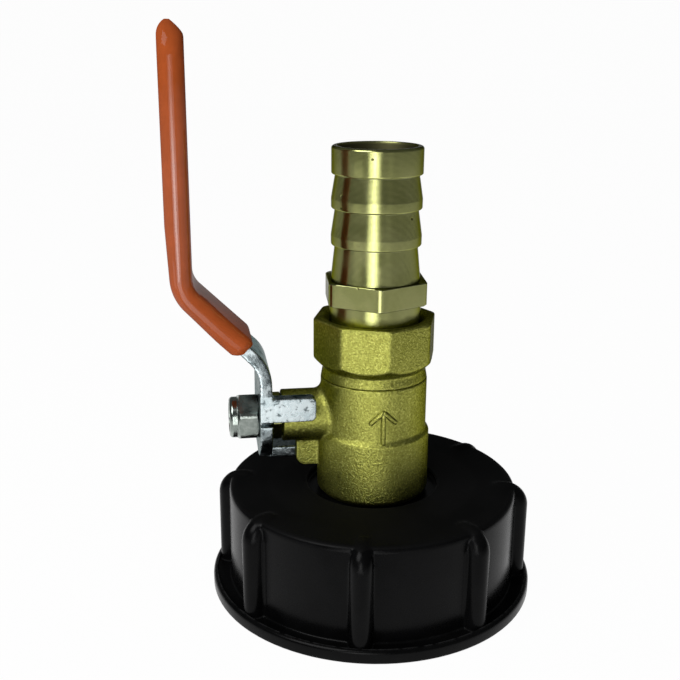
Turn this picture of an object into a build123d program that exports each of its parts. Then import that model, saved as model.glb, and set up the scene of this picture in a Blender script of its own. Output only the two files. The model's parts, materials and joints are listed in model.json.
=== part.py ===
from build123d import *
import os
from math import cos, pi, radians, sin, tan

# Outlet adapter of a bulk container: a screw cap that carries a lever ball valve and a barbed hose tail.
# Origin: centre of the cap's open end. +Z runs up the flow axis, and the stem points along -X.
# All lengths are millimetres. Threads are plain cylinders at their nominal radius.

# Clearances
THREAD_GAP = 0.06  # radial play of a screwed joint
RUN_GAP = 0.05  # radial play of a turning or slid-on fit
MOVE_GAP = 0.3  # air between pieces that pass each other
SEAT_GAP = 0.1  # ball to seat
STOP_GAP = 0.1  # stop tab to lug at each end of the travel

# Screw cap
CAP_H = 25.2
CAP_WALL = 4.2
CAP_EDGE = 1.2
CAP_ROOF = 5.2
TANK_THREAD_R = 30.0
FLANGE_W = 4.3
FLANGE_H = 3.2
FLANGE_FLOOR = 2.3  # height of the dished floor inside the flange's rim
FLANGE_RIM = 1.6
FLANGE_EDGE = 0.6
RIB_COUNT = 8
RIB_START_DEG = 31.0
RIB_R = 2.5
RIB_OUT = 3.2  # how far a rib stands out from the wall
RIB_PROUD = 0.4  # how far it stands above the roof
RIB_REACH = 4.6  # how far it runs in over the roof
RIB_BEND = 2.6
RIB_NOSE = 2.0  # how far its top leans back at the inner end
RECESS_GAP = 2.4  # width of the ring round the valve's foot
RECESS_DEPTH = 1.7
SPIGOT_BORE_R = 7.0

# Seals
GASKET_T = 2.5
GASKET_W = 10.2
GASKET_RELIEF = 0.4  # how far its seat is cut behind the thread
GASKET_GAP = 0.2
SEAL_T = 0.8
SEAL_W = 2.7
SEAL_GAP = 0.38

# Pipe thread of both valve ends
PIPE_THREAD_R = 10.48
SOCKET_DEPTH = 8.5
SOCKET_MOUTH = 0.6

# Ball, seats and the web behind each seat
BALL_R = 9.5
PORT_R = 6.25
PORT_WEB = 2.4
SEAT_T = 1.0  # thickness of a seat behind its cone
SEAT_CONE_DEG = 50.0  # flow axis to the line where a seat touches the ball
SEAT_W = 2.45
SLOT_DEPTH = 2.2

# Valve body
BODY_WALL = 1.8  # round the joint thread
SOCKET_WALL = 2.72  # round the pipe thread
BODY_FOOT_EDGE = 1.3
BODY_STEP_DROP = 3.1  # ball centre down to the top of the step
BODY_STEP_H = 1.0
BODY_RISE = 9.1  # ball centre to the body's top face
BOSS_WALL = 1.25  # round the packing
BOSS_FILLET = 1.8
LUG_T = 3.0
LUG_DROP = 12.4  # stem axis to the lug's foot
LUG_OVERLAP = 3.7  # length over which a stop tab meets the lug
LUG_ROUND = 2.0
LUG_ROOT = 1.0  # how deep it is rooted in the body's wall

# End connector
JOINT_LEDGE = 0.8  # width of the step that its thread makes round the ball's chamber
JOINT_LAND = 0.15  # wall left between the stem's recess and the joint seal
JOINT_SEAL_T = 0.8
CONNECTOR_SIDES = 8
CONNECTOR_WALL = 2.86  # pipe thread to the flats
CONNECTOR_ROUND = 1.6
CONNECTOR_TURN_DEG = 3.5
CONNECTOR_SOCKET = 12.5
CONNECTOR_CORNER = 0.5  # how far the corners are turned back at the top face
CONNECTOR_NECK = 2.5  # height of the neck between the body and the flats
CONNECTOR_WAIST = 0.5  # how much narrower than the body the neck is at its top

# Stem, packing and gland
TANG_W = 7.0
TANG_T = 3.0
TANG_PLAY = 0.1  # tang to slot
TANG_SHORT = 0.2  # tang to the slot's floor
SHOULDER_R = 4.0
SHOULDER_T = 1.8
THRUST_T = 1.0
STEM_STEP = 0.2  # stud to bearing
STEM_BORE = 4.2  # length of the stem's plain bearing
GROOVE_DEPTH = 0.85
GROOVE_W = 1.2
O_RING_SIDES = 8  # flats that stand for the ring's round section
PACK_W = 1.5
PACK_RING_T = 1.6
PACK_RINGS = 2
GLAND_DEPTH = 1.8  # length of its thread in the boss
GLAND_HEAD_T = 2.2
GLAND_AF = 9.6
GLAND_LIFT = 0.15
STUD_R = 3.0
STUD_FLAT = 0.8  # depth of each flat
STUD_SHORT = 0.4  # how far the stud's end stays inside the nut

# Lever
LEVER_T = 2.8
LEVER_BASE_R = 9.25
LEVER_W = 14.0
LEVER_NECK_Z = 8.0  # stem axis to where the base starts to narrow
LEVER_NECK_END_Z = 17.0
LEVER_OUT = 17.95  # sideways step between base and handle
LEVER_KNEE_Z = 13.7
LEVER_SLOPE_DEG = 44.0
LEVER_BEND = 8.0
LEVER_TIP_Z = 85.4
LEVER_TIP_FLAT = 2.0  # width left between the round corners of its tip
FOLD_BEND = 1.9
TAB_CLEAR = 1.5  # body to the ends of the stop tabs
SIDE_TAB_W = 5.6
FOOT_TAB_W = 6.6
FOOT_TAB_DROP = 10.1
TAB_ROUND = 1.1
RELIEF = 0.9

# Grip sleeve
GRIP_SKIN = 1.35  # over the lever's faces
GRIP_SIDE = 1.2  # over the lever's edges
GRIP_FLAT = 0.5  # width left between the rounds along its sides
GRIP_START = 7.2  # along the slope, from the knee
GRIP_CAP = 2.2  # over the lever's tip
GRIP_TIP_DROP = 3.0  # height of the tip's slant and of its round shoulder
GRIP_TIP_SLANT = 2.1  # width of the slant, on the valve's side
GRIP_TIP_SHOULDER = 1.5  # width of the round shoulder, on the outer side

# Lock nut
NUT_AF = 10.0
NUT_HEX_H = 4.7
NUT_TURN_DEG = 21.0
NUT_COLLAR_H = 1.9
NUT_COLLAR_WALL = 0.75
NUT_LIP = 0.45
INSERT_W = 1.0

# Hose tail
TAIL_COLLAR_STEP = 0.42  # pipe thread to collar
TAIL_COLLAR_SHOW = 3.6
TAIL_HEX_STEP = 0.1  # collar to the hexagon's flats
TAIL_HEX_H = 5.2
TAIL_HEX_CORNER = 0.5  # how far the hex corners are turned back
TAIL_TURN_DEG = -4.3
TAIL_MOUTH = 0.8  # radial width of the ring gap round the collar
TAIL_WALL = 1.75  # bore to the foot of a barb
BARB_FOOT = 7.1
BARB_PITCH = 8.03
BARB_COUNT = 3
BARB_TIP = 6.4
BARB_R = 10.2
BARB_DEPTH = 0.85
BARB_LIP_H = 2.3
BARB_LIP_IN = 0.25  # how far a lip has turned in half way down
BARB_RIM = 1.15  # wall at the mouth
BARB_MOUTH_DEPTH = 6.0
BARB_EDGE = 0.35

# Radii round the flow axis
CAP_WALL_R = TANK_THREAD_R + CAP_WALL
FLANGE_R = CAP_WALL_R + FLANGE_W
GASKET_SEAT_R = TANK_THREAD_R + GASKET_RELIEF
SOCKET_WALL_R = PIPE_THREAD_R + SOCKET_WALL
RECESS_R = SOCKET_WALL_R + RECESS_GAP
SEAL_OUT_R = PIPE_THREAD_R - SEAL_GAP
SEAT_R = PORT_R + SEAT_W
CHAMBER_R = BALL_R + MOVE_GAP
JOINT_R = CHAMBER_R + JOINT_LEDGE
BODY_R = JOINT_R + BODY_WALL
CONNECTOR_AF = 2 * (PIPE_THREAD_R + CONNECTOR_WALL)
TAIL_COLLAR_R = PIPE_THREAD_R + TAIL_COLLAR_STEP
TAIL_AF = 2 * (TAIL_COLLAR_R + TAIL_HEX_STEP)
BARB_NOTCH_R = BARB_R - BARB_DEPTH
TAIL_BORE_R = BARB_NOTCH_R - TAIL_WALL

# Radii round the stem
STEM_R = STUD_R + STEM_STEP
GROOVE_R = STEM_R - GROOVE_DEPTH
PACK_R = STEM_R + RUN_GAP + PACK_W
BOSS_R = PACK_R + BOSS_WALL
INSERT_R = STUD_R + INSERT_W
NUT_COLLAR_R = INSERT_R + NUT_COLLAR_WALL

# Rounds of the lever and its sleeve
LEVER_TIP_ROUND = (LEVER_W - LEVER_TIP_FLAT) / 2
GRIP_ROUND = LEVER_T / 2 + GRIP_SKIN - GRIP_FLAT / 2


def seat_height(radius):
    """Height over the ball's centre of a seat's conical face, which clears the ball by the seat gap."""
    lean = radians(SEAT_CONE_DEG)
    return (BALL_R + SEAT_GAP - radius * sin(lean)) / cos(lean)


# Levels along the flow axis
CAP_ROOF_Z = CAP_H - CAP_ROOF
GASKET_Z = CAP_ROOF_Z - GASKET_T
FOOT_Z = CAP_H - RECESS_DEPTH
SOCKET_Z = FOOT_Z + SOCKET_DEPTH
SEAT_BACK = seat_height(PORT_R) + SEAT_T
BALL_Z = SOCKET_Z + PORT_WEB + SEAT_BACK
JOINT_STEP_Z = BALL_Z + SHOULDER_R + RUN_GAP + JOINT_LAND
NOSE_Z = JOINT_STEP_Z + JOINT_SEAL_T
BODY_TOP_Z = BALL_Z + BODY_RISE
TOP_SOCKET_Z = BALL_Z + SEAT_BACK + PORT_WEB
CONNECTOR_TOP_Z = TOP_SOCKET_Z + CONNECTOR_SOCKET
TAIL_HEX_Z = CONNECTOR_TOP_Z + TAIL_COLLAR_SHOW
BARB_Z = TAIL_HEX_Z + TAIL_HEX_H
TAIL_TOP_Z = BARB_Z + BARB_FOOT + (BARB_COUNT - 1) * BARB_PITCH + BARB_TIP

# Distances along the stem, from the flow axis outwards
SLOT_FLOOR = BALL_R - SLOT_DEPTH
TANG_END = SLOT_FLOOR + TANG_SHORT
SHOULDER_START = CHAMBER_R
THRUST_END = SHOULDER_START + SHOULDER_T
BEARING_START = THRUST_END + THRUST_T
PACK_START = BEARING_START + STEM_BORE
GLAND_START = PACK_START + PACK_RINGS * PACK_RING_T
BOSS_REACH = GLAND_START + GLAND_DEPTH
GLAND_HEAD = BOSS_REACH + GLAND_LIFT
LEVER_INNER = GLAND_HEAD + GLAND_HEAD_T + MOVE_GAP
LEVER_MID = LEVER_INNER + LEVER_T / 2
LEVER_OUTER = LEVER_INNER + LEVER_T
NUT_COLLAR = LEVER_OUTER + NUT_HEX_H
NUT_END = NUT_COLLAR + NUT_COLLAR_H
STUD_END = NUT_END - STUD_SHORT
TAB_REACH = SOCKET_WALL_R + TAB_CLEAR
LUG_REACH = TAB_REACH + LUG_OVERLAP

# The stem's own frame: its Z runs out along the stem, its X along +Y, its Y downwards
STEM = Location(Plane(origin=(0, 0, BALL_Z), x_dir=(0, 1, 0), z_dir=(-1, 0, 0)))
UPWARD = (Align.CENTER, Align.CENTER, Align.MIN)


def disc(radius, low, high):
    """Solid cylinder on the Z axis between two heights."""
    return Pos(0, 0, low) * Cylinder(radius, high - low, align=UPWARD)


def ring(outer, inner, low, high):
    """Plain ring on the Z axis."""
    return disc(outer, low, high) - disc(inner, low, high)


def prism(across_flats, low, high, turn_deg=0.0, sides=6, corner=0.0):
    """Upright prism with flat sides and a corner at the given angle from the X axis."""
    outline = RegularPolygon(across_flats / 2, sides, major_radius=False, rotation=turn_deg)
    if corner:
        outline = fillet(outline.vertices(), corner)
    return Pos(0, 0, low) * extrude(outline, high - low)


def turned(*points):
    """Body of revolution about Z from a closed outline of radius and height pairs."""
    outline = make_face(Polyline([(radius, 0, height) for radius, height in points], close=True))
    return revolve(outline, Axis.Z)


def rim(part, radius, height):
    """Circular edges of a part at one radius and one height."""
    near = 0.001
    circles = part.edges().filter_by(GeomType.CIRCLE)
    return circles.filter_by(
        lambda e: abs(e.radius - radius) < near and abs(e.arc_center.Z - height) < near
    )


def cap_rib():
    """Half-round grip rib that climbs the cap's wall and bends in over the roof."""
    axis_r = CAP_WALL_R + RIB_OUT - RIB_R
    axis_z = CAP_H + RIB_PROUD - RIB_R
    end_r = CAP_WALL_R - RIB_REACH
    path = Polyline(
        (axis_r, 0, FLANGE_FLOOR / 2), (axis_r, 0, axis_z - RIB_BEND), (axis_r - RIB_BEND, 0, axis_z),
        (end_r, 0, axis_z),
    )
    rod = sweep(Plane(origin=path @ 0, z_dir=path % 0) * Circle(RIB_R), path, transition=Transition.RIGHT)
    nose = make_face(Polyline(
        (end_r, 0, axis_z), (end_r + RIB_NOSE, 0, axis_z + RIB_R), (end_r, 0, axis_z + RIB_R), close=True
    ))
    return rod - extrude(nose, RIB_R, both=True)


def screw_cap():
    """Moulded cap with its dished flange, grip ribs and the threaded spigot for the valve."""
    spigot_r = PIPE_THREAD_R - THREAD_GAP
    spigot_top = SOCKET_Z - SEAL_T
    floor_edge = FLANGE_R - FLANGE_RIM
    shell = turned(
        (TANK_THREAD_R, 0), (FLANGE_R, 0), (FLANGE_R, FLANGE_H), (floor_edge, FLANGE_H),
        (floor_edge, FLANGE_FLOOR), (CAP_WALL_R, FLANGE_FLOOR), (CAP_WALL_R, CAP_H), (RECESS_R, CAP_H),
        (RECESS_R, FOOT_Z), (spigot_r, FOOT_Z), (spigot_r, spigot_top), (SPIGOT_BORE_R, spigot_top),
        (SPIGOT_BORE_R, CAP_ROOF_Z), (GASKET_SEAT_R, CAP_ROOF_Z), (GASKET_SEAT_R, GASKET_Z),
        (TANK_THREAD_R, GASKET_Z),
    )
    shell = chamfer(rim(shell, CAP_WALL_R, CAP_H), CAP_EDGE)
    edges = rim(shell, FLANGE_R, FLANGE_H) + rim(shell, FLANGE_R, 0) + rim(shell, floor_edge, FLANGE_H)
    shell = chamfer(edges, FLANGE_EDGE)
    return shell + PolarLocations(0, RIB_COUNT, start_angle=RIB_START_DEG) * cap_rib()


def cap_gasket():
    """Flat ring under the cap's roof that seals on the container's outlet."""
    outer = GASKET_SEAT_R - GASKET_GAP
    return ring(outer, outer - GASKET_W, GASKET_Z, CAP_ROOF_Z)


def flat_seal(floor_z):
    """Flat washer that seals a pipe thread at the bottom of its socket."""
    return ring(SEAL_OUT_R, SEAL_OUT_R - SEAL_W, floor_z, floor_z + SEAL_T)


def stop_lug():
    """Lug below the boss that both stop tabs of the lever run against."""
    inner = BODY_R - LUG_ROOT
    height = LUG_DROP - BOSS_R / 2
    centre = ((-LUG_REACH - inner) / 2, 0, BALL_Z - LUG_DROP + height / 2)
    block = Pos(*centre) * Box(LUG_REACH - inner, LUG_T, height)
    foot = block.edges().filter_by(Axis.Y).group_by(Axis.Z)[0].sort_by(Axis.X)[0]
    return fillet(foot, LUG_ROUND)


def valve_body():
    """Cast body with the lower pipe socket, the ball chamber, the stem boss and the stop lug."""
    step_top = BALL_Z - BODY_STEP_DROP
    neck = disc(BODY_R, SOCKET_Z, BODY_TOP_Z) + STEM * disc(BOSS_R, 0, BOSS_REACH)
    neck = fillet(neck.edges().filter_by(GeomType.BSPLINE), BOSS_FILLET)
    socket = turned(
        (0, FOOT_Z), (SOCKET_WALL_R, FOOT_Z), (SOCKET_WALL_R, step_top - BODY_STEP_H), (BODY_R, step_top),
        (0, step_top),
    )
    socket = chamfer(rim(socket, SOCKET_WALL_R, FOOT_Z), BODY_FOOT_EDGE)
    outside = neck + socket + stop_lug()
    chamber_low = BALL_Z - seat_height(SEAT_R) - MOVE_GAP
    bores = [
        disc(PIPE_THREAD_R, FOOT_Z, SOCKET_Z),
        disc(PORT_R, SOCKET_Z, BALL_Z),
        disc(SEAT_R + RUN_GAP, BALL_Z - SEAT_BACK, BALL_Z),
        disc(CHAMBER_R, chamber_low, BODY_TOP_Z),
        disc(JOINT_R, JOINT_STEP_Z, BODY_TOP_Z),
        STEM * disc(SHOULDER_R + RUN_GAP, 0, BEARING_START),
        STEM * disc(STEM_R + RUN_GAP, 0, BOSS_REACH),
        STEM * disc(PACK_R, PACK_START, BOSS_REACH),
    ]
    for bore in bores:
        outside = outside - bore
    return chamfer(rim(outside, PIPE_THREAD_R, FOOT_Z), SOCKET_MOUTH)


def end_connector():
    """Eight-sided end piece that screws into the body, holds the upper seat and takes the hose tail."""
    corner_r = CONNECTOR_AF / 2 / cos(pi / CONNECTOR_SIDES)
    foot_r = BODY_R - RUN_GAP
    neck_r = foot_r - CONNECTOR_WAIST
    neck_z = BODY_TOP_Z + CONNECTOR_NECK
    mouth_r = TAIL_COLLAR_R + TAIL_MOUTH
    corner_drop = CONNECTOR_CORNER * tan(radians(30))
    envelope = turned(
        (0, BODY_TOP_Z), (foot_r, BODY_TOP_Z), (neck_r, neck_z), (corner_r, neck_z + corner_r - neck_r),
        (corner_r, CONNECTOR_TOP_Z - corner_drop), (corner_r - CONNECTOR_CORNER, CONNECTOR_TOP_Z),
        (0, CONNECTOR_TOP_Z),
    )
    turn_deg = CONNECTOR_TURN_DEG - 90
    flats = prism(CONNECTOR_AF, BODY_TOP_Z, CONNECTOR_TOP_Z, turn_deg, CONNECTOR_SIDES, CONNECTOR_ROUND)
    piece = flats & envelope
    piece = piece + disc(JOINT_R - THREAD_GAP, NOSE_Z, BODY_TOP_Z)
    piece = piece - disc(SEAT_R + RUN_GAP, NOSE_Z, BALL_Z + SEAT_BACK)
    piece = piece - disc(PORT_R, NOSE_Z, TOP_SOCKET_Z) - disc(PIPE_THREAD_R, TOP_SOCKET_Z, CONNECTOR_TOP_Z)
    return chamfer(rim(piece, PIPE_THREAD_R, CONNECTOR_TOP_Z), mouth_r - PIPE_THREAD_R)


def joint_seal():
    """Thin ring that the connector's nose presses on the step inside the body."""
    return ring(JOINT_R - RUN_GAP, CHAMBER_R, JOINT_STEP_Z, NOSE_Z)


def ball():
    """Bored ball with the slot that the stem's tang turns it by."""
    slot = Pos(-SLOT_FLOOR - SLOT_DEPTH / 2, 0, 0) * Box(SLOT_DEPTH, 2 * BALL_R, TANG_T + 2 * TANG_PLAY)
    return Pos(0, 0, BALL_Z) * (Sphere(BALL_R) - disc(PORT_R, -BALL_R, BALL_R) - slot)


def seat(side):
    """Seat ring below (-1) or above (+1) the ball with a conical face that the ball bears on."""
    points = [(radius, seat_height(radius)) for radius in (PORT_R, SEAT_R)]
    points += [(SEAT_R, SEAT_BACK), (PORT_R, SEAT_BACK)]
    return Pos(0, 0, BALL_Z) * turned(*[(radius, side * height) for radius, height in points])


def stud_outline(play):
    """Round stud with two flats, drawn with the given play all round."""
    flats = Rectangle(4 * STUD_R, 2 * (STUD_R - STUD_FLAT + play))
    return Circle(STUD_R + play) & flats


def stem():
    """Stem pushed in from inside: tang, thrust shoulder, bearing with seal groove, flatted stud."""
    tang_length = SHOULDER_START - TANG_END
    tang = Pos(0, 0, TANG_END + tang_length / 2) * Box(TANG_W, TANG_T, tang_length)
    groove_mid = (BEARING_START + PACK_START) / 2
    groove = ring(2 * STEM_R, GROOVE_R, groove_mid - GROOVE_W / 2, groove_mid + GROOVE_W / 2)
    shaft = disc(SHOULDER_R, SHOULDER_START, THRUST_END) + disc(STEM_R, THRUST_END, LEVER_INNER) - groove
    stud = Pos(0, 0, LEVER_INNER) * extrude(stud_outline(0), STUD_END - LEVER_INNER)
    return STEM * (tang + shaft + stud)


def stem_o_ring():
    """Round sealing ring in the stem's groove."""
    section_r = (STEM_R - GROOVE_R) / 2
    flat_out = 180 / O_RING_SIDES
    section = RegularPolygon(section_r, O_RING_SIDES, major_radius=False, rotation=flat_out)
    groove_mid = (BEARING_START + PACK_START) / 2
    place = Plane(origin=(GROOVE_R + section_r, 0, groove_mid), x_dir=(1, 0, 0), z_dir=(0, -1, 0))
    return STEM * revolve(place * section, Axis.Z)


def thrust_washer():
    """Slip ring between the stem's shoulder and the body."""
    return STEM * ring(SHOULDER_R, STEM_R + RUN_GAP, THRUST_END, BEARING_START)


def stem_packing():
    """Packing rings stacked in the boss."""
    starts = [PACK_START + i * PACK_RING_T for i in range(PACK_RINGS)]
    rings = [ring(PACK_R - RUN_GAP, STEM_R + RUN_GAP, z, z + PACK_RING_T) for z in starts]
    return Compound([STEM * r.solid() for r in rings])


def gland_nut():
    """Hollow hexagon screw that squeezes the packing."""
    body = disc(PACK_R - THREAD_GAP, GLAND_START, GLAND_HEAD)
    head = prism(GLAND_AF, GLAND_HEAD, GLAND_HEAD + GLAND_HEAD_T)
    return STEM * (body + head - disc(STEM_R + RUN_GAP, GLAND_START, LEVER_INNER))


def lever_points():
    """Middle line of the lever's strip: base foot, knee, elbow and tip."""
    knee_z = BALL_Z + LEVER_KNEE_Z
    elbow_z = knee_z + LEVER_OUT * tan(radians(LEVER_SLOPE_DEG))
    handle = -LEVER_MID - LEVER_OUT
    return (
        Vector(-LEVER_MID, 0, BALL_Z - LEVER_BASE_R), Vector(-LEVER_MID, 0, knee_z),
        Vector(handle, 0, elbow_z), Vector(handle, 0, BALL_Z + LEVER_TIP_Z),
    )


def swept(path, outline):
    """Sweep an outline, drawn with its X along -X of the part and its Y along Y, up a path."""
    start = Plane(origin=path @ 0, x_dir=(0, 1, 0), z_dir=path % 0)
    return sweep(start * outline, path)


def lever_outline():
    """Front outline of the lever, drawn flat with Y across and Z up from the stem axis."""
    base, half = LEVER_BASE_R, LEVER_W / 2
    strip = make_face(Polyline(
        (base, 0), (base, LEVER_NECK_Z), (half, LEVER_NECK_END_Z), (half, LEVER_TIP_Z),
        (-half, LEVER_TIP_Z), (-half, LEVER_NECK_END_Z), (-base, LEVER_NECK_Z), (-base, 0), close=True,
    ))
    corners = strip.vertices().group_by(Axis.Y)[-1]
    return fillet(corners, LEVER_TIP_ROUND) + Circle(base)


def side_tab():
    """Tab folded from the side of the base: meets the lug when the valve is shut."""
    mid_y = -LEVER_BASE_R + LEVER_T / 2
    low = LUG_T / 2 + STOP_GAP
    path = FilletPolyline(
        (-LEVER_MID, mid_y / 2, 0), (-LEVER_MID, mid_y, 0), (-TAB_REACH, mid_y, 0), radius=FOLD_BEND
    )
    start = Plane(origin=path @ 0, x_dir=(0, 0, 1), z_dir=path % 0)
    tab = Pos(0, 0, BALL_Z + low + SIDE_TAB_W / 2) * sweep(start * Rectangle(SIDE_TAB_W, LEVER_T), path)
    return fillet(tab.faces().sort_by(Axis.X)[-1].edges().filter_by(Axis.Y), TAB_ROUND)


def foot_tab():
    """Tab folded from the foot of the base: meets the lug when the valve is open."""
    mid_z = BALL_Z - FOOT_TAB_DROP
    path = FilletPolyline(
        (-LEVER_MID, 0, BALL_Z - LEVER_BASE_R / 2), (-LEVER_MID, 0, mid_z), (-TAB_REACH, 0, mid_z),
        radius=FOLD_BEND,
    )
    tab = Pos(0, LUG_T / 2 + STOP_GAP + FOOT_TAB_W / 2, 0) * swept(path, Rectangle(FOOT_TAB_W, LEVER_T))
    return fillet(tab.faces().sort_by(Axis.X)[-1].edges().filter_by(Axis.Z), TAB_ROUND)


def lever():
    """Stamped and bent steel lever with its two stop tabs and the flatted stem hole."""
    path = FilletPolyline(*lever_points(), radius=LEVER_BEND)
    strip = swept(path, Rectangle(2 * LEVER_BASE_R, LEVER_T))
    side = Plane(origin=(0, 0, BALL_Z), x_dir=(0, 1, 0), z_dir=(1, 0, 0))
    blank = strip & extrude(side * lever_outline(), 4 * LEVER_OUT, both=True)
    relief_z = BALL_Z + LUG_T / 2 + STOP_GAP - RELIEF / 2
    relief = Pos(-LEVER_MID, -LEVER_BASE_R, relief_z) * Box(2 * LEVER_T, 2 * FOLD_BEND, RELIEF)
    hole = STEM * (Pos(0, 0, LEVER_INNER - MOVE_GAP) * extrude(stud_outline(RUN_GAP), LEVER_T + 2 * MOVE_GAP))
    return blank - relief + side_tab() + foot_tab() - hole


def tip_front(half_width, top_z, corner):
    """Tall block that gives a strip round corners at its top, seen from the front."""
    wide, tall = 4 * LEVER_OUT, 4 * LEVER_TIP_Z
    block = Pos(-LEVER_MID - LEVER_OUT, 0, top_z - tall / 2) * Box(wide, 2 * half_width, tall)
    return fillet(block.edges().filter_by(Axis.X).group_by(Axis.Z)[-1], corner)


def tip_side(middle_x, half_thickness, top_z):
    """Block that slants a strip's top towards the valve and rounds it off on the outer side."""
    outer, inner = middle_x - half_thickness, middle_x + half_thickness
    valve_x, low_z, drop_z = inner + 2 * LEVER_OUT, BALL_Z, top_z - GRIP_TIP_DROP
    shoulder = (outer + GRIP_TIP_SHOULDER, top_z)
    with BuildSketch(Plane.XZ) as section:
        with BuildLine():
            TangentArc((outer, drop_z), shoulder, tangent=(0, 1))
            Polyline(
                shoulder, (inner - GRIP_TIP_SLANT, top_z), (inner, drop_z), (valve_x, drop_z),
                (valve_x, low_z), (outer, low_z), (outer, drop_z),
            )
        make_face()
    return extrude(section.sketch, 2 * LEVER_W, both=True)


def grip_sleeve():
    """Dipped plastic sleeve with a closed, slanted tip."""
    _, knee, elbow, tip = lever_points()
    half_width = LEVER_W / 2 + GRIP_SIDE
    half_thickness = LEVER_T / 2 + GRIP_SKIN
    start = knee + (elbow - knee).normalized() * GRIP_START
    end = tip + Vector(0, 0, GRIP_CAP)
    outer = swept(
        FilletPolyline(start, elbow, end, radius=LEVER_BEND),
        RectangleRounded(2 * half_width, 2 * half_thickness, GRIP_ROUND),
    )
    outer = outer & tip_front(half_width, end.Z, LEVER_TIP_ROUND + GRIP_SIDE)
    outer = outer & tip_side(end.X, half_thickness, end.Z)
    pocket = swept(
        FilletPolyline(start, elbow, tip + Vector(0, 0, RUN_GAP), radius=LEVER_BEND),
        Rectangle(LEVER_W + 2 * RUN_GAP, LEVER_T + 2 * RUN_GAP),
    )
    return outer - (pocket & tip_front(LEVER_W / 2 + RUN_GAP, tip.Z + RUN_GAP, LEVER_TIP_ROUND))


def lock_nut():
    """Hexagon nut with the rolled collar that holds its locking ring."""
    corner_r = NUT_AF / 2 / cos(radians(30))
    turn = (corner_r - NUT_AF / 2) * tan(radians(30))
    envelope = turned(
        (0, LEVER_OUTER), (NUT_AF / 2, LEVER_OUTER), (corner_r, LEVER_OUTER + turn),
        (corner_r, NUT_COLLAR - turn), (NUT_AF / 2, NUT_COLLAR), (0, NUT_COLLAR),
    )
    head = prism(NUT_AF, LEVER_OUTER, NUT_COLLAR, NUT_TURN_DEG) & envelope
    collar = disc(NUT_COLLAR_R, NUT_COLLAR, NUT_END)
    collar = chamfer(rim(collar, NUT_COLLAR_R, NUT_END), NUT_LIP)
    lip_r = (STUD_R + INSERT_R) / 2
    nut = head + collar - disc(STUD_R + RUN_GAP, LEVER_OUTER, NUT_END)
    nut = nut - disc(INSERT_R, NUT_COLLAR, NUT_END - NUT_LIP) - disc(lip_r, NUT_COLLAR, NUT_END)
    return STEM * nut


def nut_insert():
    """Plastic locking ring inside the nut's collar."""
    return STEM * ring(INSERT_R - RUN_GAP, STUD_R + RUN_GAP, NUT_COLLAR, NUT_END - NUT_LIP)


def hose_tail():
    """Turned tail: pipe thread, collar, spanner hexagon and the barbed stem for the hose."""
    thread_r = PIPE_THREAD_R - THREAD_GAP
    thread_z = TOP_SOCKET_Z + SEAL_T
    collar_z = CONNECTOR_TOP_Z - TAIL_MOUTH / 2
    mouth_r = BARB_R - BARB_RIM
    notch_z = [BARB_Z + BARB_FOOT + i * BARB_PITCH for i in range(BARB_COUNT)]
    outline = [
        (TAIL_BORE_R, thread_z), (thread_r - SOCKET_MOUTH, thread_z), (thread_r, thread_z + SOCKET_MOUTH),
        (thread_r, collar_z), (TAIL_COLLAR_R, collar_z), (TAIL_COLLAR_R, BARB_Z), (BARB_R, BARB_Z),
    ]
    for z in notch_z[:-1]:
        outline += [(BARB_NOTCH_R, z), (BARB_R - BARB_LIP_IN, z + BARB_LIP_H / 2), (BARB_R, z + BARB_LIP_H)]
    outline += [
        (BARB_NOTCH_R, notch_z[-1]), (BARB_R, notch_z[-1] + BARB_LIP_H / 2), (BARB_R, TAIL_TOP_Z - BARB_EDGE),
        (BARB_R - BARB_EDGE, TAIL_TOP_Z), (mouth_r, TAIL_TOP_Z), (TAIL_BORE_R, TAIL_TOP_Z - BARB_MOUTH_DEPTH),
    ]
    turned_part = turned(*outline)
    corner_r = TAIL_AF / 2 / cos(radians(30))
    turn = TAIL_HEX_CORNER * tan(radians(30))
    envelope = turned(
        (TAIL_BORE_R, TAIL_HEX_Z), (corner_r - TAIL_HEX_CORNER, TAIL_HEX_Z), (corner_r, TAIL_HEX_Z + turn),
        (corner_r, BARB_Z - turn), (corner_r - TAIL_HEX_CORNER, BARB_Z), (TAIL_BORE_R, BARB_Z),
    )
    return turned_part + (prism(TAIL_AF, TAIL_HEX_Z, BARB_Z, TAIL_TURN_DEG - 90) & envelope)


PIECES = {
    "screw_cap": screw_cap(),
    "cap_gasket": cap_gasket(),
    "spigot_seal": flat_seal(SOCKET_Z - SEAL_T),
    "valve_body": valve_body(),
    "end_connector": end_connector(),
    "joint_seal": joint_seal(),
    "lower_seat": seat(-1),
    "upper_seat": seat(+1),
    "ball": ball(),
    "stem": stem(),
    "stem_o_ring": stem_o_ring(),
    "thrust_washer": thrust_washer(),
    "stem_packing": stem_packing(),
    "gland_nut": gland_nut(),
    "lever": lever(),
    "grip_sleeve": grip_sleeve(),
    "lock_nut": lock_nut(),
    "nut_insert": nut_insert(),
    "tail_seal": flat_seal(TOP_SOCKET_Z),
    "hose_tail": hose_tail(),
}

os.makedirs("parts", exist_ok=True)
for name, piece in PIECES.items():
    export_step(piece, f"parts/{name}.step")
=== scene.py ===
import json
from math import cos, degrees, pi, radians, sin, sqrt, tan

import bpy
from mathutils import Matrix, Vector, noise


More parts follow.
